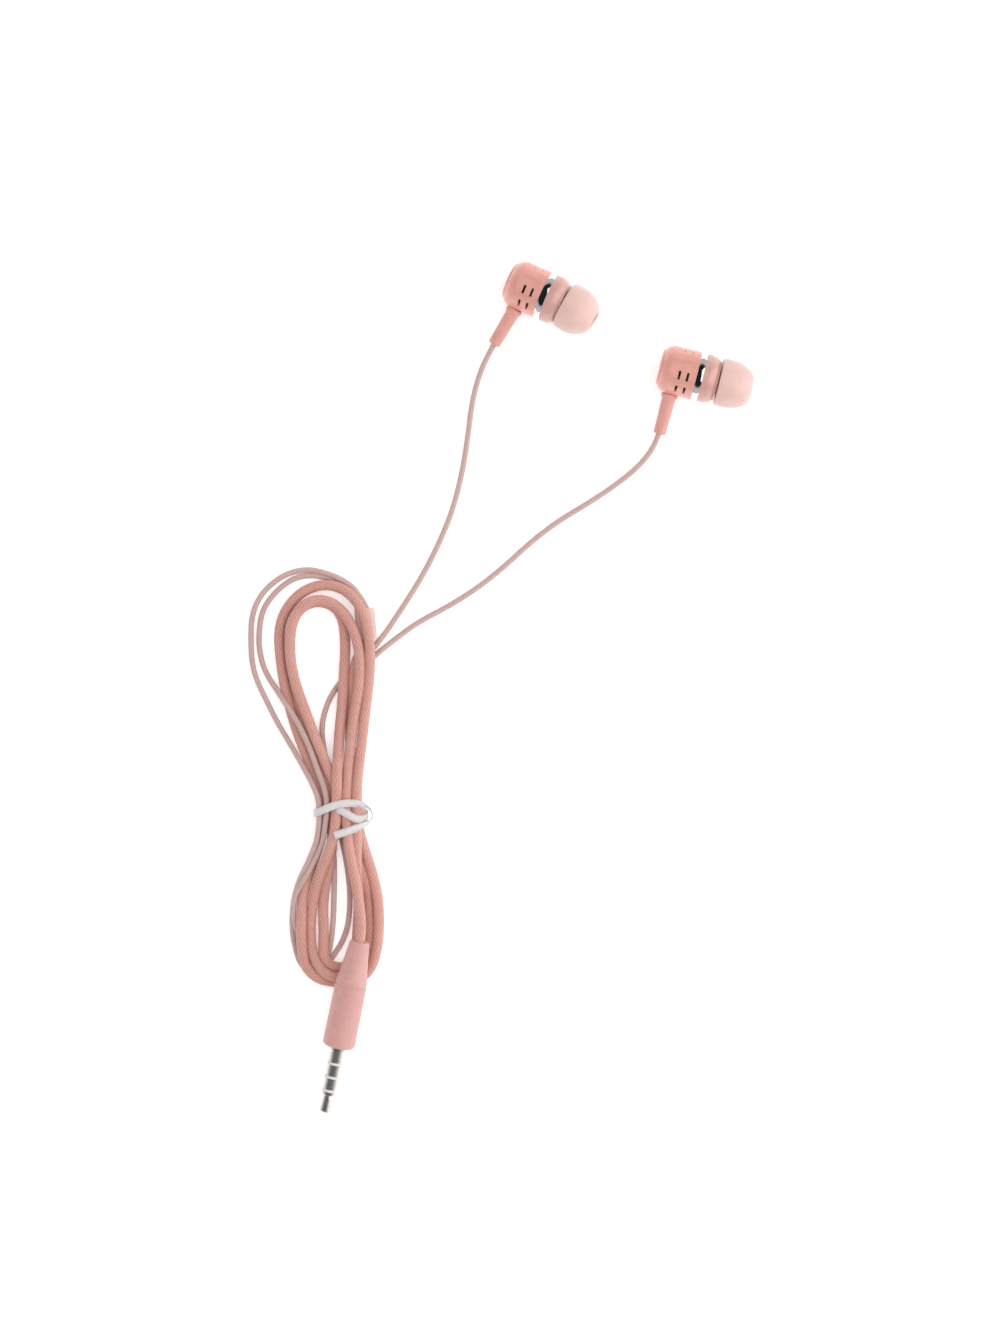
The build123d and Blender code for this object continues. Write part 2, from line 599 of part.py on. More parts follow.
def twist_tie():
    outer = TIE_SLACK + TIE_THICK
    strip = band(TIE_SLACK, outer, TIE_WIDTH) - tie_wire()
    right = waist_edges()[1] + outer
    loop = Box(TIE_TAIL, TIE_WIDTH, TIE_TAIL) - Box(TIE_TAIL - 2 * TIE_THICK, 2 * TIE_WIDTH, TIE_TAIL - 2 * TIE_THICK)
    return strip + Location((right + TIE_TAIL / 2 - 0.1, TIE_STATION, WAIST_HEIGHT / 2)) * loop


def tie_wire():
    return band(TIE_SLACK, TIE_SLACK + TIE_WIRE, TIE_WIRE)


# ---- the whole set

nodes = {}
for side, bud in BUDS.items():
    place = bud_place(bud)
    for name, piece in bud_pieces(bud).items():
        nodes[name + "_" + side] = place * piece
    nodes["lead_" + side] = lead(side)
for name, piece in plug_pieces().items():
    nodes[name] = plug_place() * piece
nodes["main_cord"] = main_cord()
nodes["cord_hank"] = cord_hank()
nodes["splitter_body"] = splitter_body()
nodes["splitter_core"] = splitter_core()
nodes["twist_tie"] = twist_tie()
nodes["tie_wire"] = tie_wire()

ON_THE_CORD = ("lead", "main_cord", "cord_hank", "plug", "splitter", "twist_tie", "tie_wire")
buds = Compound([piece for name, piece in nodes.items() if not name.startswith(ON_THE_CORD)])
box = buds.bounding_box()
print("earbuds", [round(v, 3) for v in (*box.min, *box.max)])
for side, bud in BUDS.items():
    axis = spot(bud_place(bud), (0, 0, 1)) - spot(bud_place(bud), (0, 0, 0))
    print(side, "axis", [round(v, 5) for v in axis])
print("pin centre", spot(plug_place(), (0, 0, PIN_START + (HEAD_START + 0.6) / 2)), "axis",
      spot(plug_place(), (0, 0, 1)) - spot(plug_place(), (0, 0, 0)), "length", HEAD_START + 0.6)
for name, piece in nodes.items():
    export_step(piece, "parts/" + name + ".step")
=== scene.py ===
"""Wired earphones with their cord tied in a hank: cords, soft parts, materials, light and camera."""
import json
import math

import bmesh
import bpy
import numpy as np
from mathutils import Matrix, Vector

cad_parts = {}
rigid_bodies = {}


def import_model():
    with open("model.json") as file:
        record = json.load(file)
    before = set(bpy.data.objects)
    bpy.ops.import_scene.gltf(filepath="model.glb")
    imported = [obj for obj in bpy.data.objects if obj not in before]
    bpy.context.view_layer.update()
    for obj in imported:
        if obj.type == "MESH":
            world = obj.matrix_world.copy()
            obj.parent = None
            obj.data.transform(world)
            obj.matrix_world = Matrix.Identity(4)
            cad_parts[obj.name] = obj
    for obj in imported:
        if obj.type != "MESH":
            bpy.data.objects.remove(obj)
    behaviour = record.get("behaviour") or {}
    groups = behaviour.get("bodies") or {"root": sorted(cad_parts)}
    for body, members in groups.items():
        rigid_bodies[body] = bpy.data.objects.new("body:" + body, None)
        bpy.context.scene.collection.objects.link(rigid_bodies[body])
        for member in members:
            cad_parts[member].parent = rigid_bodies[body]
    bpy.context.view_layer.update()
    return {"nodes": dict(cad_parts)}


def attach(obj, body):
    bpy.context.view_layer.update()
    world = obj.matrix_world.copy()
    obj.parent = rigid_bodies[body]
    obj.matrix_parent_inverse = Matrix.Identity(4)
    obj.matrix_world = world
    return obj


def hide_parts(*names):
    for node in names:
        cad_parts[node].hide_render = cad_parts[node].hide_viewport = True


MM = 0.001

for item in list(bpy.data.objects):
    bpy.data.objects.remove(item)
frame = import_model()
nodes = frame["nodes"]
collection = bpy.context.scene.collection


# ---- materials

def linear(r, g, b):
    """Linear values of an sRGB colour given in 0 to 255."""
    return tuple(c / 12.92 if c <= 0.04045 else ((c + 0.055) / 1.055) ** 2.4 for c in (r / 255, g / 255, b / 255))


class Paint:
    """A Principled material and short ways to add nodes to it."""

    def __init__(self, name, colour, **inputs):
        self.material = bpy.data.materials.new(name)
        self.material.use_nodes = True
        self.tree = self.material.node_tree
        self.shader = self.tree.nodes["Principled BSDF"]
        self.colour = linear(*colour)
        self.set("Base Color", (*self.colour, 1))
        for key, value in inputs.items():
            self.set(key.replace("_", " "), value)

    def set(self, socket, value):
        self.shader.inputs[socket].default_value = value

    def node(self, kind, **settings):
        """A new node; each setting is a number on one of its sockets, or else one of its properties."""
        made = self.tree.nodes.new(kind)
        for key, value in settings.items():
            if key in made.inputs:
                made.inputs[key].default_value = value
            else:
                setattr(made, key, value)
        return made

    def link(self, source, target):
        self.tree.links.new(source, target)

    def math(self, operation, first, second=0.0):
        """A maths node; each term is a number or another node's output."""
        made = self.node("ShaderNodeMath", operation=operation)
        for socket, value in zip(made.inputs, (first, second)):
            if isinstance(value, bpy.types.NodeSocket):
                self.link(value, socket)
            else:
                socket.default_value = value
        return made.outputs[0]

    def ramp(self, value, low, high, start, end):
        """A value turned to a colour between two colours given as shares of the base colour."""
        made = self.node("ShaderNodeValToRGB")
        for stop, position, share in zip(made.color_ramp.elements, (start, end), (low, high)):
            shares = share if isinstance(share, tuple) else (share,) * 3
            stop.position = position
            stop.color = (*[min(1.0, c * part) for c, part in zip(self.colour, shares)], 1)
        self.link(value, made.inputs["Fac"])
        return made.outputs["Color"]

    def noise(self, scale, detail=3.0):
        """Cloudy noise fixed to the piece."""
        made = self.node("ShaderNodeTexNoise", Scale=scale, Detail=detail, Roughness=0.55)
        self.link(self.node("ShaderNodeTexCoord").outputs["Object"], made.inputs["Vector"])
        return made.outputs["Fac"]

    def between(self, value, low, high):
        """A value from 0 to 1 moved into the range from low to high."""
        made = self.node("ShaderNodeMapRange")
        made.inputs["To Min"].default_value = low
        made.inputs["To Max"].default_value = high
        self.link(value, made.inputs["Value"])
        return made.outputs["Result"]

    def bump(self, height, distance):
        made = self.node("ShaderNodeBump", Distance=distance)
        self.link(height, made.inputs["Height"])
        self.link(made.outputs["Normal"], self.shader.inputs["Normal"])


CLOUD = 14      # how many times as broad as its grain the clouds in a moulded surface are


def moulded(name, colour, grain, depth, rough, spread=0.05, tint=0.04, **inputs):
    """Moulded plastic, rubber or plated metal: faint cloudy tint, grain some microns deep, uneven gloss."""
    paint = Paint(name, colour, **inputs)
    fine = paint.noise(grain)
    broad = paint.noise(grain / CLOUD, 4.0)
    paint.link(paint.ramp(broad, 1 - tint, 1 + tint, 0.35, 0.65), paint.shader.inputs["Base Color"])
    paint.link(paint.between(broad, rough - spread, rough + spread), paint.shader.inputs["Roughness"])
    paint.bump(fine, depth * MM)
    return paint


FILAMENTS = 2   # threads side by side in each strand of a braid


def braid(name, colour, shade):
    """Woven yarn, drawn along the cord's own length: over and under strands, their threads and their gaps."""
    paint = Paint(name, colour, Roughness=0.6, Sheen_Weight=0.3, Sheen_Roughness=0.5, Subsurface_Weight=0.3,
                  Subsurface_Scale=0.0006, Subsurface_Radius=(1.0, 0.45, 0.35))
    paint.set("Sheen Tint", (*linear(255, 214, 202), 1))
    split = paint.node("ShaderNodeSeparateXYZ")
    uv = paint.node("ShaderNodeUVMap", uv_map="braid")
    paint.link(uv.outputs["UV"], split.inputs["Vector"])
    around, along = split.outputs["X"], split.outputs["Y"]
    one, two = paint.math("ADD", around, along), paint.math("SUBTRACT", around, along)
    parity = paint.math("MODULO", paint.math("ADD", paint.math("FLOOR", one), paint.math("FLOOR", two)), 2.0)
    parity = paint.math("ABSOLUTE", parity)
    waves = [paint.math("ABSOLUTE", paint.math("SINE", paint.math("MULTIPLY", side, math.pi))) for side in (one, two)]
    pillow = paint.math("POWER", paint.math("MULTIPLY", *waves), 0.6)
    threads = [paint.math("SINE", paint.math("MULTIPLY", side, 2 * math.pi * FILAMENTS)) for side in (one, two)]
    fibre = paint.math("ADD", paint.math("MULTIPLY", threads[0], parity),
                       paint.math("MULTIPLY", threads[1], paint.math("SUBTRACT", 1.0, parity)))
    height = paint.math("ADD", pillow, paint.math("MULTIPLY", fibre, 0.12))
    worn = paint.noise(700, 4.0)
    # the colour: painted shade in the gaps between the yarns, a touch of painted light on their tops, and a random
    # tone from worn
    gap_shade_and_tone = paint.math("ADD", paint.math("MULTIPLY", height, 0.7), paint.math("MULTIPLY", worn, 0.5))
    paint.link(paint.ramp(gap_shade_and_tone, shade, (1.06, 1.06, 1.06), 0.12, 0.95), paint.shader.inputs["Base Color"])
    paint.link(paint.between(worn, 0.5, 0.75), paint.shader.inputs["Roughness"])
    paint.bump(height, 0.05 * MM)
    return paint


def woven_mesh(name, colour):
    """Fine woven steel cloth over the nozzle."""
    paint = Paint(name, colour, Metallic=1.0)
    place = paint.node("ShaderNodeTexCoord").outputs["Object"]
    bands = []
    for angle in (0.6, 0.6 + math.pi / 2):
        wires = paint.node("ShaderNodeMapping", Rotation=(0.0, 0.0, angle))
        paint.link(place, wires.inputs["Vector"])
        wave = paint.node("ShaderNodeTexWave", Scale=1500, Distortion=0.4)
        paint.link(wires.outputs["Vector"], wave.inputs["Vector"])
        bands.append(wave.outputs["Fac"])
    height = paint.math("MULTIPLY", *bands)
    # painted shade: the openings between the wires are darkened to a quarter of the wires' colour
    paint.link(paint.ramp(height, 0.25, 1.0, 0.1, 0.8), paint.shader.inputs["Base Color"])
    paint.link(paint.between(height, 0.6, 0.3), paint.shader.inputs["Roughness"])
    paint.bump(height, 0.06 * MM)
    return paint


PAINTS = {
    "shell": moulded("shell", (232, 166, 153), 9000, 0.004, 0.3, Metallic=0.15, Coat_Weight=0.4, Coat_Roughness=0.15),
    "cover": moulded("cover", (214, 165, 155), 9000, 0.004, 0.3, Metallic=0.12, Coat_Weight=0.4, Coat_Roughness=0.15),
    "trim": moulded("trim", (232, 228, 230), 5000, 0.001, 0.07, 0.02, 0.01, Metallic=1.0),
    "silicone": moulded("silicone", (230, 195, 187), 6000, 0.003, 0.38, Subsurface_Weight=0.6, Subsurface_Scale=0.0012,
                        Subsurface_Radius=(1.0, 0.75, 0.65), Coat_Weight=0.12, Coat_Roughness=0.3, Sheen_Weight=0.25,
                        Sheen_Roughness=0.4),
    "boot": moulded("boot", (222, 162, 153), 7000, 0.006, 0.45, Subsurface_Weight=0.3, Subsurface_Scale=0.0008,
                    Subsurface_Radius=(1.0, 0.6, 0.5)),
    "handle": moulded("handle", (212, 160, 154), 8000, 0.006, 0.42, Subsurface_Weight=0.15, Subsurface_Scale=0.0008,
                      Subsurface_Radius=(1.0, 0.6, 0.5), Sheen_Weight=0.15, Sheen_Roughness=0.3),
    "splitter": moulded("splitter", (226, 195, 191), 7000, 0.005, 0.48, Subsurface_Weight=0.3,
                        Subsurface_Scale=0.0012, Subsurface_Radius=(1.0, 0.7, 0.6)),
    "tie": moulded("tie", (250, 245, 245), 3000, 0.02, 0.32, Transmission_Weight=0.3, Subsurface_Weight=0.3,
                   Subsurface_Scale=0.0008, Subsurface_Radius=(1.0, 0.95, 0.95), IOR=1.46),
    "contact": moulded("contact", (226, 221, 218), 6000, 0.002, 0.2, 0.05, 0.03, Metallic=0.86),
    "insulator": moulded("insulator", (226, 216, 210), 5000, 0.004, 0.45),
    "driver_plastic": moulded("driver_plastic", (58, 56, 58), 5000, 0.006, 0.5),
    "driver_steel": moulded("driver_steel", (168, 168, 172), 5000, 0.003, 0.3, Metallic=1.0),
    "coil": moulded("coil", (190, 104, 62), 9000, 0.006, 0.35, Metallic=0.9),
    "film": moulded("film", (206, 196, 176), 5000, 0.003, 0.3, Transmission_Weight=0.4),
    "paper": moulded("paper", (232, 228, 218), 3000, 0.02, 0.9),
    "board": moulded("board", (34, 96, 58), 4000, 0.008, 0.4),
    "mesh": woven_mesh("mesh", (178, 172, 170)),
    # a braid's last colour is the painted shade in the gaps between its yarns
    "cord_braid": braid("cord_braid", (213, 163, 152), (0.8, 0.68, 0.65)),
    "lead_braid": braid("lead_braid", (204, 177, 172), (0.86, 0.79, 0.77)),
}
# each CAD node's material is named after its paint; the front covers share the shell's and are a shade duller
for item in nodes.values():
    for place in item.material_slots:
        place.material = PAINTS[place.material.name.split(".")[0]].material
for side in ("left", "right"):
    nodes["front_cover_" + side].material_slots[0].material = PAINTS["cover"].material


# ---- pieces

def piece(name, verts, faces, slot, body="root"):
    """A smooth-shaded visible piece that rides on a body."""
    mesh = bpy.data.meshes.new(name)
    mesh.from_pydata([tuple(v) for v in verts], [], faces)
    mesh.validate()
    mesh.update()
    mesh.polygons.foreach_set("use_smooth", [True] * len(mesh.polygons))
    mesh.materials.append(PAINTS[slot].material)
    made = bpy.data.objects.new(name, mesh)
    collection.objects.link(made)
    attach(made, body)
    return made


def face_outward(made):
    """Turns every face of a closed piece to the outside."""
    shell = bmesh.new()
    shell.from_mesh(made.data)
    bmesh.ops.recalc_face_normals(shell, faces=shell.faces)
    shell.to_mesh(made.data)
    shell.free()


def turned(name, profile, place, slot, shape, body="root", steps=64):
    """A closed profile of (radius, height) turned round local Z, each point moved by shape, then smoothed."""
    verts, faces = [], []
    count = len(profile)
    for step in range(steps):
        angle = 2 * math.pi * step / steps
        for radius, height in profile:
            point = shape(Vector((radius * math.cos(angle), radius * math.sin(angle), height)))
            verts.append(place @ (point * MM))
        for k in range(count):
            after = (step + 1) % steps
            faces.append((step * count + k, after * count + k, after * count + (k + 1) % count,
                          step * count + (k + 1) % count))
    made = piece(name, verts, faces, slot, body)
    face_outward(made)
    smooth = made.modifiers.new("smooth", "SUBSURF")
    smooth.levels = smooth.render_levels = 1
    return made


def spline_line(name, points):
    """The centre of a cord: a NURBS spline through space with those control points, read back as points."""
    curve = bpy.data.curves.new(name + "_line", "CURVE")
    curve.dimensions = "3D"
    curve.resolution_u = 16
    spline = curve.splines.new("NURBS")
    spline.points.add(len(points) - 1)
    for point, (x, y, z) in zip(spline.points, points):
        point.co = (x * MM, y * MM, z * MM, 1)
    spline.order_u = 3
    spline.use_endpoint_u = True
    holder = bpy.data.objects.new(name + "_line", curve)
    collection.objects.link(holder)
    bpy.context.view_layer.update()
    mesh = bpy.data.meshes.new_from_object(holder)
    line = np.array([v.co for v in mesh.vertices], float)
    bpy.data.objects.remove(holder)
    bpy.data.meshes.remove(mesh)
    return line


def even(line, spacing):
    """Points at an even spacing along a line that was read from a spline, and how far along it each one is."""
    runs = np.linalg.norm(np.diff(line, axis=0), axis=1)
    run = np.concatenate([[0.0], np.cumsum(runs)])
    count = max(2, int(round(run[-1] / spacing)) + 1)
    wanted = np.linspace(0, run[-1], count)
    return np.stack([np.interp(wanted, run, line[:, k]) for k in range(3)], axis=1), wanted


def frames(line):
    """Tangent and side directions along a line; the side starts out level and turns as little as it can."""
    tangents = np.gradient(line, axis=0)
    tangents /= np.linalg.norm(tangents, axis=1)[:, None]
    side = np.cross(tangents[0], (0.0, 0.0, 1.0))
    side /= np.linalg.norm(side)
    sides = []
    for tangent in tangents:
        side = side - tangent * side.dot(tangent)
        side /= np.linalg.norm(side)
        sides.append(side)
    sides = np.array(sides)
    return tangents, sides, np.cross(tangents, sides)


def braided(name, points, diameter, slot, carriers, around, spacing, pitch, relief):
    """A braided cord: a tube along the spline whose surface rises by relief over each crossing of the yarns.

    It has carriers strands each way round, and its pattern repeats in every length of pitch. The mesh has around
    points in a ring and a ring at every spacing.
    """
    line = spline_line(name, points)
    rings, run = even(line, spacing * MM)
    _, sides, ups = frames(rings)
    angle = np.arange(around) * 2 * math.pi / around
    along = run[:, None] / (pitch * MM)
    one = carriers * angle[None] / (2 * math.pi) + along
    two = carriers * angle[None] / (2 * math.pi) - along
    pillow = np.sqrt(np.abs(np.sin(math.pi * one) * np.sin(math.pi * two)))
    radius = (diameter / 2 - relief * (1 - pillow)) * MM
    verts = (rings[:, None] + radius[..., None] * (np.cos(angle)[None, :, None] * sides[:, None]
             + np.sin(angle)[None, :, None] * ups[:, None])).reshape(-1, 3)
    count = len(rings)
    ring, k = np.meshgrid(np.arange(count - 1), np.arange(around), indexing="ij")
    after = (k + 1) % around
    quads = np.stack([ring * around + k, ring * around + after, (ring + 1) * around + after,
                      (ring + 1) * around + k], axis=-1).reshape(-1, 4)
    faces = quads.tolist() + [list(range(around))[::-1], list(range((count - 1) * around, count * around))]
    made = piece(name, verts.tolist(), faces, slot)
    layer = made.data.uv_layers.new(name="braid")
    near, far = run[ring] / (pitch * MM), run[ring + 1] / (pitch * MM)
    here, there = carriers * k / around, carriers * (k + 1) / around
    corners = [(here, near), (there, near), (there, far), (here, far)]
    uv = np.stack([np.stack(corner, -1) for corner in corners], axis=2).reshape(-1)
    uv = np.concatenate([uv, np.zeros(2 * len(layer.data) - len(uv))]).astype(np.float32)
    layer.data.foreach_set("uv", uv)
    return made, line


# ---- earbuds: each is drawn on its rear face, its axis along local Z and its boot along local X

BUDS = {
    "left": {"rear": (-25.44, 15.41, 5.188), "heading": -24.5, "tilt": 6.0, "dip": 13.5, "lean": 8.0},
    "right": {"rear": (8.5, -4.19, 5.65), "heading": -14.3, "tilt": 0.0, "dip": 15.5, "lean": 0.0},
}
HOUSING_R = 5.5
BOOT_STATION = 3.84     # the boot's line, from the earbud's rear face
BOOT_SINK = 0.6         # how far the boot's root lies inside the housing's round
TIP_BASE = 13.65        # the ear tip's rear edge, from the earbud's rear face


def turn(degrees, axis):
    return Matrix.Rotation(math.radians(degrees), 4, axis)


def bud_place(bud):
    """Frame of an earbud: heading of its axis, tilt of its tip and dip of its boot."""
    place = Matrix.Translation(Vector(bud["rear"]) * MM) @ turn(bud["heading"], "Z") @ turn(-bud["tilt"], "Y")
    return place @ turn(90, "Y") @ turn(-90 + bud["dip"], "Z")


def boot_place(bud):
    """Frame of a boot: its root on the housing, local Z towards the lead."""
    root_point = Matrix.Translation(Vector((HOUSING_R - BOOT_SINK, 0, BOOT_STATION)) * MM)
    return bud_place(bud) @ root_point @ turn(90 + bud["lean"], "Y")


# profiles as (radius, height): the tip's heights are above its rear edge, the boot's above its root
TIP_INSIDE = [(2.0, 7.5), (2.0, 6.6), (2.05, 5.75), (2.7, 5.55), (2.8, 5.2), (2.8, 2.6), (2.8, 0.35), (3.0, 0.08),
              (3.35, 0.08), (3.5, 0.4), (3.5, 2.4), (3.5, 4.1), (3.72, 4.75), (4.1, 4.4), (4.55, 3.0), (4.8, 1.7),
              (4.82, 0.7), (4.9, 0.2)]
TIP_OUTSIDE = {
    "left": [(5.2, 0.06), (5.42, 0.5), (5.48, 1.5), (5.5, 2.6), (5.42, 3.8), (5.05, 5.1), (4.45, 6.2), (3.7, 7.05),
             (3, 7.6), (2.4, 7.88), (2.08, 7.82)],
    "right": [(5.2, 0.06), (5.42, 0.5), (5.5, 1.5), (5.5, 2.7), (5.3, 4.0), (4.95, 5.3), (4.4, 6.4), (3.8, 7.2),
              (3.3, 7.65), (2.6, 7.88), (2.1, 7.82)],
}
TIP_ASKEW = {"left": 5.0, "right": -1.0}    # how far the soft dome sits off the nozzle's line, in degrees
TIP_TUBE = (3.6, 5.6)                       # radius and height within which the tip's tube grips the nozzle
TIP_GIVE = (1.2, 1.6)                       # how far beyond those the dome is wholly free of the tube


def askew(side, bud):
    """The dome sits a little crooked on the nozzle, more the farther it is from it."""
    level = turn(-90 + bud["dip"], "Z").inverted() @ Vector((1, 0, 0))
    bend = Matrix.Rotation(math.radians(TIP_ASKEW[side]), 4, level)

    def move(point):
        outward = (math.hypot(point.x, point.y) - TIP_TUBE[0]) / TIP_GIVE[0]
        forward = (point.z - TIP_TUBE[1]) / TIP_GIVE[1]
        free = min(1.0, max(0.0, outward, forward))
        return point.lerp(bend @ point, free)
    return move


BOOT_PROFILE = [(0.72, 9.0), (0.72, 9.92), (0.9, 10.0), (1.22, 9.98), (1.38, 9.86), (1.42, 9.6), (1.43, 9.0),
                (1.46, 7.4), (1.49, 5.2), (1.53, 3.2), (1.56, 2.0), (1.62, 1.62), (1.8, 1.5), (1.86, 1.35),
                (1.86, 0.9), (1.86, 0.1), (1.0, 0.1), (0.72, 0.3)]


def saddle(point):
    """The boot's root follows the round housing, a hair inside it."""
    if point.z < 0.2:
        point.z = BOOT_SINK + math.sqrt(HOUSING_R ** 2 - min(point.y ** 2, 4)) - HOUSING_R - 0.04
    return point


for side, bud in BUDS.items():
    tip_place = bud_place(bud) @ Matrix.Translation((0, 0, TIP_BASE * MM))
    tip = turned("ear_tip_soft_" + side, TIP_INSIDE + TIP_OUTSIDE[side], tip_place, "silicone", askew(side, bud),
                 body="tip_" + side)
    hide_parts("ear_tip_" + side)
    boot = turned("boot_soft_" + side, BOOT_PROFILE, boot_place(bud), "boot", saddle, steps=40)
    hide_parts("boot_" + side)


# ---- the cord's route through the hank, in millimetres: each leg of a turn has its own place in the bundle

CORD_D = 2.4
LEAD_D = 1.3

FIRST_DOWN = [(-57.8, -64.4, 1.45), (-57.75, -66.3, 1.5), (-58.8, -68.4, 2), (-60.1, -70.6, 2.4), (-60.6, -73.3, 2.5),
              (-60.7, -76.3, 2.3), (-61, -79.6, 1.5), (-61.3, -83, 1.2), (-61.5, -87.5, 1.2), (-61.4, -92, 1.3),
              (-61.1, -96.3, 1.8), (-60.7, -101, 2.4), (-60.3, -105.7, 2.5)]
FOOT_ONE = [(-59, -110.9, 2), (-57.5, -115.5, 1.7), (-56.1, -120, 1.7), (-55.2, -124.3, 2.2), (-54.9, -128.6, 2.5),
            (-55, -133.1, 2.5), (-55.6, -137, 2.3), (-56.7, -140.3, 1.8), (-58.7, -142.5, 1.3), (-61.1, -143.6, 1.2),
            (-63.6, -143.7, 1.2), (-66.2, -143.4, 1.2), (-68.2, -142.9, 1.8), (-70, -141.8, 2.4),
            (-71.7, -139.7, 2.5), (-72.3, -137, 2.8), (-72.5, -133.8, 3.2), (-72.5, -130.8, 3), (-72.5, -127.8, 2.2),
            (-72.4, -124.8, 1.4), (-71.4, -120.5, 1.2), (-69.8, -115.9, 1.3), (-68.2, -111.4, 1.9),
            (-67.9, -105.7, 2.6)]
LOOP_ONE = [(-68.2, -101.1, 2.3), (-69.2, -97.5, 1.5), (-70.6, -94.1, 1.2), (-72, -90.7, 1.2), (-73.6, -86.6, 1.2),
            (-75.3, -80.9, 1.2), (-76.6, -75, 1.2), (-77.3, -70.2, 1.2), (-77.7, -65.5, 1.2), (-77.2, -61.4, 1.2),
            (-75.2, -57.6, 1.2), (-71.8, -54.5, 1.3), (-67.3, -53.2, 1.8), (-63.4, -54.1, 2.6), (-60.7, -56.2, 3.6),
            (-58.6, -59.3, 4.1), (-57.5, -63.2, 4.2), (-56.9, -67.7, 4.6), (-56.9, -72.3, 4.6), (-57.4, -77.3, 3.6),
            (-58.1, -82.7, 3.4), (-58.7, -88.2, 3.4), (-59.3, -93.2, 3.6), (-59.8, -97.5, 4.3), (-59.9, -101.6, 4.8),
            (-59.9, -106.4, 4.8)]
FOOT_TWO = [(-59.9, -110.9, 4.2), (-59.9, -115, 3.5), (-59.8, -119.1, 3), (-59.6, -122.7, 2.5), (-59.5, -126.6, 1.8),
            (-59.8, -131, 1.3), (-60, -134.7, 1.2), (-60.1, -137.9, 1.2), (-62.2, -140.2, 1.5), (-65.4, -140.2, 2),
            (-67.6, -137.9, 2.4), (-67.5, -134.7, 2.4), (-67.5, -131, 1.7), (-67.7, -126.6, 1.2),
            (-67.3, -122.3, 1.2), (-66.4, -118.2, 1.5), (-65.7, -114.1, 2.3), (-65.4, -110, 2.5),
            (-65.5, -105.7, 2.6)]
LOOP_TWO = [(-65.8, -101.6, 2.6), (-66.9, -98, 2.5), (-68.3, -94.1, 1.8), (-69.9, -90.2, 1.3), (-71.6, -85.7, 1.2),
            (-73.1, -80.5, 1.2), (-74.2, -75.2, 1.2), (-75, -70.9, 1.2), (-75.2, -66.6, 1.2), (-74.8, -62.3, 1.2),
            (-73.2, -59.1, 1.2), (-70.7, -57.5, 1.2), (-67.7, -57.2, 1.2), (-65, -58.4, 1.2), (-63.3, -60.9, 1.2),
            (-62.7, -64.5, 1.4), (-62.6, -68.2, 1.9), (-62.7, -70.9, 2.5), (-62.9, -74.3, 2.5), (-63.1, -78, 2.5),
            (-63.4, -82, 2.5), (-63.9, -86.8, 2.5), (-64.1, -91.2, 3.5), (-64.3, -95, 5.2), (-64.3, -98.5, 6),
            (-64.4, -102, 5.1), (-64.5, -105.7, 4.95)]
FOOT_THREE = [(-64.9, -110, 4.85), (-66.1, -113.6, 4.6), (-67.4, -116.8, 3.7), (-68.6, -120, 2.8), (-69.5, -123.2, 2),
              (-70.2, -126.8, 1.4), (-70.5, -130.9, 1.4), (-70.4, -134.6, 1.9), (-69.8, -137.8, 2.4),
              (-68.2, -140.6, 2.9), (-65.6, -142.3, 3.3), (-62.6, -142.3, 3), (-59.8, -141, 2.4), (-58, -138, 1.5),
              (-57, -134.4, 1.2), (-56.8, -131.4, 1.2), (-57.2, -126.1, 1.2), (-57.9, -121.1, 1.2),
              (-59.4, -116.4, 1.2), (-61.2, -111.6, 1.3), (-62.2, -107.5, 2.2)]
LOOP_THREE = [(-63.3, -103, 2.7), (-64.6, -99.3, 3.7), (-66.2, -95.5, 4.1), (-67.8, -91.6, 3.8), (-69.8, -86.8, 3.6),
              (-71.8, -81.4, 3.6), (-73.8, -75.9, 3.6), (-74.8, -71.4, 3.6), (-75.2, -66.8, 3.6), (-74.8, -62.5, 3.6),
              (-73.3, -59.2, 3.6), (-70.9, -57.3, 3.6), (-68, -56.7, 3.6), (-64.9, -57.8, 3.6), (-62.5, -60.1, 3.7),
              (-60.8, -63.2, 4), (-59.7, -66.5, 4.4), (-59.2, -69.8, 4.85), (-59.15, -73.2, 4.85), (-59.5, -77, 4.4),
              (-60.1, -80.6, 3.8), (-60.7, -84.5, 3.5), (-61.3, -89.2, 3.6), (-61.8, -93.9, 4), (-62.1, -97.7, 4.5),
              (-62.2, -101.6, 4.8), (-62.2, -106.4, 4.8)]
TO_PLUG = [(-61.75, -112.6, 5.1), (-60.75, -117.8, 5.5), (-59.75, -122.3, 6.25), (-59.05, -126.8, 7.2),
           (-58.65, -131.86, 8.16), (-59.66, -136.69, 7.36)]

# the main cord: from the splitter down to the waist, then by turns round the foot and the head of the hank
MAIN_LEGS = [FIRST_DOWN, FOOT_ONE, LOOP_ONE, FOOT_TWO, LOOP_TWO, FOOT_THREE, LOOP_THREE, TO_PLUG]

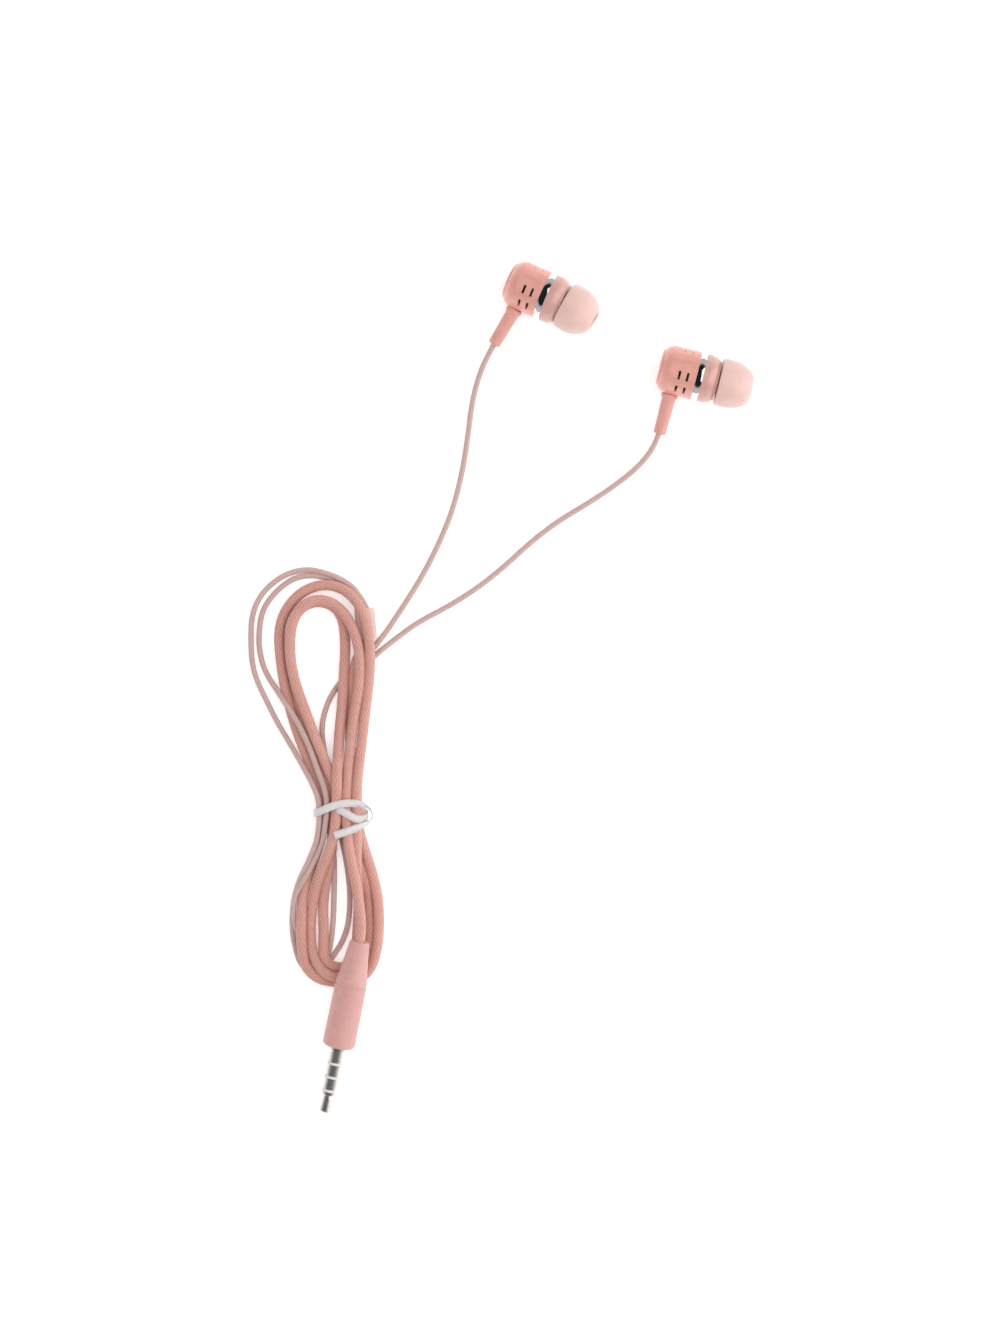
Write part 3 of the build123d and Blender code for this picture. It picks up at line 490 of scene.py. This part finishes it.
# each lead: from its boot to under the splitter, down to the waist, round the foot of the hank and up to the waist,
# round the head of the hank and into the splitter
LEAD_LEGS = {
    "left": [
        [(-27.35, 3.64, 2.74), (-29.87, -0.5, 1.52), (-32.2, -5.6, 0.65), (-33.9, -12.2, 0.65), (-34.8, -20.0, 0.65),
         (-36.0, -27.6, 0.65), (-38.0, -35.8, 0.65), (-41.2, -43.8, 0.65), (-45.2, -51.6, 0.65), (-49.8, -58.8, 0.65),
         (-53.4, -64.2, 0.65), (-56.4, -67.9, 0.65)],
        [(-58.4, -70, 0.65), (-60.5, -72, 0.65), (-62.7, -74.3, 0.65), (-64.8, -76.8, 0.65), (-66.5, -79.8, 0.65),
         (-67.6, -83.2, 0.65), (-68, -86.6, 0.65), (-67.6, -90, 0.65), (-67, -93.4, 0.65), (-66.6, -96.8, 0.65),
         (-66.6, -100.8, 0.9), (-66.7, -105.7, 1.4)],
        [(-66.2, -109.8, 0.9), (-65.2, -114.2, 0.65), (-65.1, -120, 0.65), (-65.2, -124.3, 0.65),
         (-65.3, -128.6, 0.65), (-65.6, -132.3, 0.65), (-66, -134.9, 0.65), (-66.5, -137.3, 0.65),
         (-68.3, -139.1, 0.65), (-70.8, -139.1, 0.65), (-72.5, -137.3, 0.65), (-73, -134.8, 0.75),
         (-73.4, -132.4, 1.35), (-74, -130.2, 1.8), (-74.5, -127.6, 1.95), (-74.3, -124.9, 1.95),
         (-73.4, -122.6, 2.4), (-71.9, -120.3, 3.1), (-70.6, -118, 3.15), (-69.5, -115.9, 3.2),
         (-68.4, -113.6, 3.4), (-67.5, -111.2, 3.8), (-67, -107.6, 4.4)],
        [(-66.5, -103, 4.8), (-67.3, -98.9, 4.7), (-68.9, -95, 4.2), (-70.3, -90.9, 3.8), (-71.9, -87.3, 3.6),
         (-73.6, -84.1, 3.6), (-75.2, -81.6, 3.2), (-76.6, -79.5, 2.9), (-78.1, -77.3, 1.3), (-79.9, -74.7, 0.65),
         (-81.4, -71.6, 0.65), (-82.2, -67.7, 0.65), (-82.2, -64.1, 0.65), (-81.7, -60, 0.65), (-80, -56.8, 0.65),
         (-77.3, -53.9, 0.65),
         (-74.3, -51.9, 0.65), (-70.7, -51.1, 0.65), (-66.6, -51.7, 0.65), (-63.2, -53.1, 0.65), (-61.3, -54.9, 0.8),
         (-60, -56.7, 1.2), (-59.2, -58.1, 1.45), (-58.9, -59.8, 1.45)],
    ],
    "right": [
        [(9.39, -16.25, 2.47), (8.2, -20.92, 1.13), (4.6, -26.0, 0.65), (-0.6, -30.3, 0.65), (-7.0, -34.6, 0.65),
         (-13.8, -38.6, 0.65), (-20.2, -43.4, 0.65), (-26.2, -49.0, 0.65), (-32.4, -54.0, 0.65), (-39.4, -58.4, 0.65),
         (-46.2, -61.9, 0.65), (-52.2, -66.4, 0.65), (-56.4, -69.9, 0.65)],
        [(-58.4, -71.9, 0.65), (-60.2, -74.1, 0.65), (-62, -76.6, 0.65), (-63.4, -79.8, 0.65), (-64, -83.4, 0.65),
         (-64.3, -87, 0.65), (-64.5, -90.9, 0.65), (-64.5, -94.3, 0.65), (-64.4, -97.7, 0.8), (-64.4, -101.6, 1.3),
         (-64.3, -105.7, 1.4)],
        [(-63.5, -110.9, 1.1), (-62.6, -115, 0.7), (-62, -118.9, 0.65), (-61.6, -122.7, 0.65), (-61.6, -126.6, 0.65),
         (-62, -130.7, 0.65), (-63.2, -134.3, 0.65), (-64.9, -137, 0.65), (-66.6, -139.3, 0.65),
         (-68.9, -141.2, 0.65), (-71.2, -141.1, 0.65), (-73.1, -139, 0.65), (-74.1, -135.5, 0.65),
         (-74.7, -131.8, 0.65), (-74.7, -128.4, 0.65), (-74.35, -125.2, 0.65), (-73.8, -122.7, 1),
         (-72.9, -120.3, 2.1), (-71.8, -118, 2.65), (-70.8, -115.9, 2.9), (-69.8, -113.6, 3.1),
         (-68.95, -111.3, 3.55), (-68.4, -107.3, 4)],
        [(-68.2, -103, 4.4), (-69.7, -98.9, 3.8), (-71.9, -95, 2.6), (-73.9, -91.6, 1.4), (-75.7, -88.6, 0.7),
         (-78.5, -83.9, 0.65), (-80.9, -78.9, 0.65), (-82.7, -75.2, 0.65), (-83.8, -71.4, 0.65), (-84.1, -66.8, 0.65),
         (-84, -60.7, 0.65), (-82.2, -56.1, 0.65), (-79.1, -52.8, 0.65), (-75.2, -50.5, 0.65), (-71.1, -49.8, 0.65),
         (-67.3, -50.6, 1.3), (-63.6, -52, 1.7), (-60.7, -54, 1.7), (-59.3, -56, 1.6), (-58.1, -57.7, 1.45),
         (-57.5, -59.8, 1.45)],
    ],
}

main_cord, main_line = braided("main_cord_braid", sum(MAIN_LEGS, []), CORD_D, "cord_braid", carriers=9, around=36,
                               spacing=0.3, pitch=1.5, relief=0.06)
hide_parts("main_cord", "cord_hank")
for side, legs in LEAD_LEGS.items():
    lead, line = braided(f"lead_{side}_braid", sum(legs, []), LEAD_D, "lead_braid", carriers=6, around=18,
                         spacing=0.25, pitch=0.9, relief=0.03)
    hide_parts("lead_" + side)


# ---- twist tie: a flat strip with a wire in it, round the waist, crossed over itself and left slack at one side

TIE_POINTS = [(-64.2, -104, 6.1, 0), (-62, -105.2, 6.5, 0), (-59.9, -106.4, 6.3, 0), (-58, -106.5, 5, 0),
              (-57.2, -105.7, 3, 0), (-58, -105, 1, 0), (-61.1, -104.8, 0.45, 0), (-66.6, -104.8, 0.45, 0),
              (-69.2, -105, 0.9, 0), (-69.8, -105.2, 3.2, 0), (-69.1, -105, 5.6, 0), (-66.8, -104, 6.6, 0),
              (-64.1, -103, 6.7, 0), (-61.4, -102.7, 6.6, 0), (-58.9, -103, 6.1, 0.2), (-57, -103.9, 5.3, 0.6),
              (-56.1, -105.5, 4.7, 1), (-56.8, -107, 4.9, 0.6), (-58.9, -108.1, 5.9, 0.2), (-61.6, -109, 6.4, 0),
              (-64.9, -110.1, 6.5, 0)]
TIE_WIDTH = 1.75
TIE_THICK = 0.4
TIE_SPACING = 0.2
TIE_RIPPLES = [(0.06, 2.3, 0), (0.04, 5.1, 1)]      # size, rate and start of the waves in the strip's edges
# the strip's section, as shares of its width and of half its thickness: the wire stands out along the middle
TIE_OUTLINE = [(-0.5, -0.3), (-0.5, 0.3), (-0.3, 0.42), (-0.16, 0.5), (-0.08, 0.95), (0.08, 0.95), (0.16, 0.5),
               (0.3, 0.42), (0.5, 0.3), (0.5, -0.3), (0.16, -0.5), (0.08, -0.8), (-0.08, -0.8), (-0.16, -0.5)]


def strip(name, points, slot):
    """The tie's strip along a spline; the last number of a point turns it from flat (0) to upright (1)."""
    line = spline_line(name, [p[:3] for p in points])
    rings, run = even(line, TIE_SPACING * MM)
    tangents, _, _ = frames(rings)
    steps = np.linspace(0, 1, len(points))
    upright = np.interp(np.linspace(0, 1, len(rings)), steps, [p[3] for p in points])
    verts, faces = [], []
    for at, tangent, stand, place in zip(rings, tangents, upright, run):
        tangent = Vector(tangent)
        wide = Vector((0, 1 - stand, stand))
        wide = (wide - tangent * wide.dot(tangent)).normalized()
        flat = tangent.cross(wide)
        ripple = sum(size * MM * math.sin(place / MM * rate + start) for size, rate, start in TIE_RIPPLES)
        for across, up in TIE_OUTLINE:
            edge = ripple * (2 * across) ** 2
            verts.append(Vector(at) + wide * across * TIE_WIDTH * MM + flat * (up * TIE_THICK * MM / 2 + edge))
    count = len(TIE_OUTLINE)
    for ring in range(len(rings) - 1):
        for k in range(count):
            after = (k + 1) % count
            faces.append((ring * count + k, ring * count + after, (ring + 1) * count + after, (ring + 1) * count + k))
    last = (len(rings) - 1) * count
    faces += [tuple(range(count))[::-1], tuple(range(last, last + count))]
    made = piece(name, verts, faces, slot)
    face_outward(made)
    return made


tie = strip("tie_strip", TIE_POINTS, "tie")
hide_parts("twist_tie", "tie_wire")


# ---- floor, light and camera

MIDDLE = (-0.0275, -0.0719, 0.0)        # the middle of the earphones, on the floor
FLOOR_REACH = 1.5
FLOOR_DROP = 0.02 * MM                  # keeps the floor's face clear of the undersides that rest on it


def floor():
    """A plain pale floor that glows a little, so that it stays white under soft light."""
    mesh = bpy.data.meshes.new("floor")
    corners = [(-1, -1), (1, -1), (1, 1), (-1, 1)]
    mesh.from_pydata([(x * FLOOR_REACH, y * FLOOR_REACH, 0) for x, y in corners], [], [(0, 1, 2, 3)])
    made = bpy.data.objects.new("floor", mesh)
    collection.objects.link(made)
    made.location.z = -FLOOR_DROP
    paint = Paint("floor", (250, 250, 250), Roughness=0.9)
    paint.set("Specular IOR Level", 0.1)
    paint.set("Emission Color", (1.0, 1.0, 1.0, 1.0))
    paint.set("Emission Strength", 0.35)
    mesh.materials.append(paint.material)


def area(name, place, size, power, glossy):
    """A soft white light turned to the middle of the earphones; only a glossy one shows in shiny surfaces."""
    data = bpy.data.lights.new(name, "AREA")
    data.shape = "RECTANGLE"
    data.size, data.size_y = size
    data.energy = power
    made = bpy.data.objects.new(name, data)
    collection.objects.link(made)
    made.location = place
    made.rotation_euler = (Vector(MIDDLE) - Vector(place)).to_track_quat("-Z", "Y").to_euler()
    made.visible_camera = False
    made.visible_glossy = glossy


floor()
area("overhead", (MIDDLE[0], MIDDLE[1], 1.1), (1.4, 1.4), 11.0, glossy=False)
area("left", (-0.9, 0.0, 0.55), (0.5, 1.0), 0.8, glossy=False)
area("right", (0.8, -0.05, 0.5), (1.2, 1.6), 8.0, glossy=True)

# the room is white at the sides and dark overhead, for the dark bands in the shiny rings and the plug's contacts
world = bpy.data.worlds.new("studio")
bpy.context.scene.world = world
world.use_nodes = True
sky = world.node_tree
background = sky.nodes["Background"]
background.inputs["Strength"].default_value = 0.55
direction = sky.nodes.new("ShaderNodeTexCoord")
height = sky.nodes.new("ShaderNodeSeparateXYZ")
shades = sky.nodes.new("ShaderNodeValToRGB")
sky.links.new(direction.outputs["Generated"], height.inputs["Vector"])
sky.links.new(height.outputs["Z"], shades.inputs["Fac"])
sky.links.new(shades.outputs["Color"], background.inputs["Color"])
stops = shades.color_ramp.elements
stops[0].position, stops[0].color = 0.0, (1.0, 1.0, 1.0, 1)
stops[1].position, stops[1].color = 0.62, (0.03, 0.03, 0.035, 1)
stops.new(0.42).color = (1.0, 0.99, 0.98, 1)

# the camera looks straight down on the middle
camera_data = bpy.data.cameras.new("camera")
camera_data.lens = 100
camera_data.sensor_width = 36
camera_data.clip_start = 0.01
camera_data.clip_end = 20
camera = bpy.data.objects.new("camera", camera_data)
collection.objects.link(camera)
camera.location = (-0.0275, -0.07193, 0.8417)
camera.rotation_euler = (0, 0, 0)
bpy.context.scene.camera = camera
bpy.context.scene.view_settings.view_transform = "Standard"
bpy.context.scene.view_settings.look = "None"
